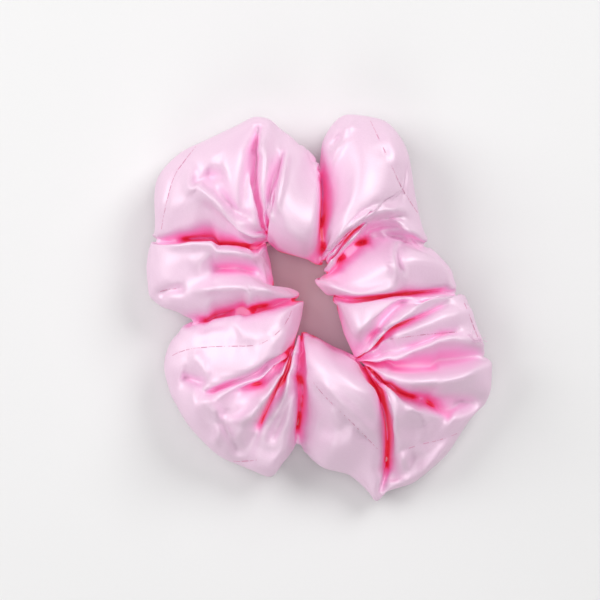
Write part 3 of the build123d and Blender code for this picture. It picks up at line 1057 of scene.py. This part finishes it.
class SCRUNCHIE_OT_cover(bpy.types.Operator):
    """Makes the gathered satin cover and lets it settle as soft cloth"""

    bl_idname = "scrunchie.cover"
    bl_label = "Satin Cover"

    def execute(self, context):
        sizes = context.scene.scrunchie_sizes
        coarse = cover_grid(*SETTLING_GRID)
        moved = settle(coarse) * sizes.settling
        for axis, count in enumerate(FINE_GRID):
            moved = finer(moved, count, axis)
        grid = (cover_grid(*FINE_GRID) + moved) * np.array([SETTLED_SIZE, SETTLED_SIZE, 1.0])
        grid, crease_shade = press_creases(grid)
        grid = press_seam(grid)
        grid = clear_elastic(grid)
        grid = smooth_grid(grid, 1, 0.25)
        grid[..., 2] = np.maximum(grid[..., 2], sizes.cloth_thickness / MM)
        cover = mesh_of_grid("satin_cover", grid * MM)
        faces = [tuple(face.vertices) for face in cover.data.polygons]
        # Painted shade and painted glow in the folds: how far other cloth closes off the light, with more
        # painted shade along the pressed lines and on the hole's wall.
        deep = cover.data.attributes.new("deep", "FLOAT", "POINT")
        depth = depth_in_folds(grid, faces) + PRESSED_LINE_SHADE * crease_shade + HOLE_WALL_SHADE * faces_hole(grid)
        depth = np.clip(depth, 0, 1)
        deep.data.foreach_set("value", depth.astype(np.float32))
        thickness = cover.modifiers.new("thickness", "SOLIDIFY")
        thickness.thickness = sizes.cloth_thickness
        thickness.offset = -1
        apply_modifiers(cover)
        give(cover, satin_material(context.scene.scrunchie_colours))
        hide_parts(*PUFFS)
        return {"FINISHED"}


class SCRUNCHIE_OT_long_seam(bpy.types.Operator):
    """Lays the stitches of the long seam along the cover"""

    bl_idname = "scrunchie.long_seam"
    bl_label = "Long Seam"

    def execute(self, context):
        sizes = context.scene.scrunchie_sizes
        seam = lay_stitches("long_seam_thread", [line for _, line in LONG_SEAM], sizes)
        colour = tuple(context.scene.scrunchie_colours.thread)
        give(seam, thread_material("pink_thread", colour, 2500.0))
        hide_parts(*SEAM_LENGTHS)
        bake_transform(seam)
        return {"FINISHED"}


class SCRUNCHIE_OT_closing_seam(bpy.types.Operator):
    """Lays the closing seam's stitches and the yarns that fray out beside it"""

    bl_idname = "scrunchie.closing_seam"
    bl_label = "Closing Seam"

    def execute(self, context):
        sizes = context.scene.scrunchie_sizes
        colours = context.scene.scrunchie_colours
        seam = lay_stitches("closing_seam_stitches", [CLOSING_SEAM, RAW_EDGE], sizes)
        give(seam, bpy.data.materials["pink_thread"])
        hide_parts("closing_seam_thread")
        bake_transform(seam)
        tree = cover_tree()
        chance = np.random.default_rng(7)
        yarns = []
        for x, y in walk(RAW_EDGE, FRAY_PITCH) + walk(FRAYED_AT, FRAY_PITCH_AT_SEAM):
            root = on_cover(tree, x, y, 0.0)
            if root is None:
                continue
            out = Vector((1.0, chance.uniform(-0.7, 0.4), chance.uniform(0.0, 0.5))).normalized()
            bend = Vector((0.0, chance.uniform(-1.0, 1.0), chance.uniform(-0.6, 0.3)))
            length = chance.uniform(FRAY_SHORTEST, FRAY_LONGEST)
            path = []
            for share in (-0.2, 0.2, 0.6, 1.0):
                path.append(root + out * length * share + bend * length * share * share * 0.6)
            yarns.append(model_yarn(path, sizes.yarn))
        for _ in range(TANGLED_YARNS):
            path = []
            for x, y in walk(FRAYED_AT, TANGLE_PITCH):
                place = on_cover(tree, x, y, TANGLE_LIFT)
                if place is not None:
                    stray = chance.uniform(-TANGLE_SPREAD, TANGLE_SPREAD, 3)
                    path.append(place + Vector(stray * np.array([1.0, 1.0, 0.3])))
            yarns.append(model_yarn(path, sizes.yarn))
        frayed = join("frayed_yarns", yarns)
        paler = tuple(min(1.0, channel * 1.08) for channel in colours.satin)
        give(frayed, thread_material("loose_yarn", paler, 3000.0))
        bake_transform(frayed)
        return {"FINISHED"}


class SCRUNCHIE_OT_elastic(bpy.types.Operator):
    """Makes the braided elastic band and the stitches that close it"""

    bl_idname = "scrunchie.elastic"
    bl_label = "Braided Elastic"

    def execute(self, context):
        sizes = context.scene.scrunchie_sizes
        colours = context.scene.scrunchie_colours
        middle = ELASTIC_MIDDLE
        width = sizes.elastic_width / sizes.elastic_cords
        bpy.ops.object.select_all(action="DESELECT")
        bpy.ops.mesh.primitive_circle_add(
            vertices=CORD_SIDES,
            radius=width * CORD_RADIUS,
            fill_type="NOTHING",
            location=(middle.x + ELASTIC_RADIUS, middle.y, ELASTIC_LOW.z + width / 2),
            rotation=(pi / 2, 0.0, 0.0),
        )
        cord = context.object
        bpy.ops.object.transform_apply(location=True, rotation=True, scale=True)
        bpy.ops.object.mode_set(mode="EDIT")
        bpy.ops.mesh.select_all(action="SELECT")
        bpy.ops.mesh.spin(steps=CORD_STEPS, angle=2 * pi, center=tuple(middle), axis=(0.0, 0.0, 1.0))
        bpy.ops.mesh.select_all(action="SELECT")
        bpy.ops.mesh.remove_doubles(threshold=0.00002)
        bpy.ops.mesh.normals_make_consistent(inside=False)
        bpy.ops.object.mode_set(mode="OBJECT")
        cords = [cord]
        for number in range(1, sizes.elastic_cords):
            copy = cord.copy()
            copy.data = cord.data.copy()
            copy.data.transform(Matrix.Translation((0.0, 0.0, width * number)))
            context.collection.objects.link(copy)
            cords.append(copy)
        band = join("braided_elastic", cords)
        for vertex in band.data.vertices:
            across, along = vertex.co.x - middle.x, vertex.co.y - middle.y
            turn = atan2(along, across)
            shift = float(elastic_reach(turn)) * MM - ELASTIC_RADIUS
            vertex.co.x += cos(turn) * shift
            vertex.co.y += sin(turn) * shift
        give(band, elastic_material(colours))
        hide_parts("elastic_band")
        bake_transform(band)
        node = frame["nodes"]["elastic_tack_thread"]
        tack = node.copy()
        tack.data = node.data.copy()
        tack.parent = None
        tack.name = "elastic_tack_stitches"
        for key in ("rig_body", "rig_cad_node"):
            del tack[key]
        context.collection.objects.link(tack)
        select_only(tack)
        bpy.ops.object.mode_set(mode="EDIT")
        bpy.ops.mesh.select_all(action="SELECT")
        bpy.ops.mesh.remove_doubles(threshold=0.000001)
        bpy.ops.object.mode_set(mode="OBJECT")
        give(tack, thread_material("tack_thread", TACK_COLOUR, 2500.0))
        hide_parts("elastic_tack_thread")
        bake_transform(tack)
        return {"FINISHED"}


class SCRUNCHIE_OT_stage(bpy.types.Operator):
    """Adds the table, the soft lights and the camera above the ring"""

    bl_idname = "scrunchie.stage"
    bl_label = "Stage"

    def execute(self, context):
        scene = context.scene
        bpy.ops.mesh.primitive_plane_add(size=4.0, location=(0.0, 0.0, 0.0))
        floor = context.object
        floor.name = "table_top"
        floor.data.materials.append(floor_material(scene.scrunchie_colours))
        for name, place, size, power in LIGHTS:
            bpy.ops.object.light_add(type="AREA", location=place)
            lamp = context.object
            lamp.name = name
            lamp.data.size = size
            lamp.data.energy = power
            lamp.rotation_euler = (-Vector(place)).to_track_quat("-Z", "Y").to_euler()
        world = bpy.data.worlds.new("soft_sky")
        world.use_nodes = True
        world.node_tree.nodes["Background"].inputs[0].default_value = (1.0, 1.0, 1.0, 1.0)
        world.node_tree.nodes["Background"].inputs[1].default_value = SKY_STRENGTH
        scene.world = world
        bpy.ops.object.camera_add(location=CAMERA_PLACE, rotation=(0.0, 0.0, 0.0))
        camera = context.object
        camera.name = "camera"
        camera.data.sensor_width = 36.0
        camera.data.lens = 36.0 * (CAMERA_PLACE[2] - VIEW_LEVEL) / VIEW_WIDTH
        scene.camera = camera
        scene.view_settings.view_transform = "Standard"
        return {"FINISHED"}


class SCRUNCHIE_PT_panel(bpy.types.Panel):
    """Lists the scrunchie's sizes, colours and pieces"""

    bl_idname = "SCRUNCHIE_PT_panel"
    bl_label = "Scrunchie"
    bl_space_type = "VIEW_3D"
    bl_region_type = "UI"
    bl_category = "Scrunchie"

    def draw(self, context):
        for group in (context.scene.scrunchie_sizes, context.scene.scrunchie_colours):
            box = self.layout.box()
            for name in group.__annotations__:
                box.prop(group, name)
        for operator in OPERATORS:
            self.layout.operator(operator.bl_idname)


GROUPS = [ScrunchieSizes, ScrunchieColours]
OPERATORS = [
    SCRUNCHIE_OT_cover,
    SCRUNCHIE_OT_long_seam,
    SCRUNCHIE_OT_closing_seam,
    SCRUNCHIE_OT_elastic,
    SCRUNCHIE_OT_stage,
]


def register():
    """Registers the settings, the operators and the panel."""
    for made in GROUPS + OPERATORS + [SCRUNCHIE_PT_panel]:
        bpy.utils.register_class(made)
    bpy.types.Scene.scrunchie_sizes = PointerProperty(type=ScrunchieSizes)
    bpy.types.Scene.scrunchie_colours = PointerProperty(type=ScrunchieColours)


def unregister():
    """Takes the settings, the operators and the panel away again."""
    del bpy.types.Scene.scrunchie_sizes
    del bpy.types.Scene.scrunchie_colours
    for made in reversed(GROUPS + OPERATORS + [SCRUNCHIE_PT_panel]):
        bpy.utils.unregister_class(made)


def main():
    """Makes the whole scrunchie."""
    register()
    bpy.ops.scrunchie.cover()
    bpy.ops.scrunchie.long_seam()
    bpy.ops.scrunchie.closing_seam()
    bpy.ops.scrunchie.elastic()
    bpy.ops.scrunchie.stage()
    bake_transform(bpy.data.objects["satin_cover"])


if __name__ == "__main__":
    main()
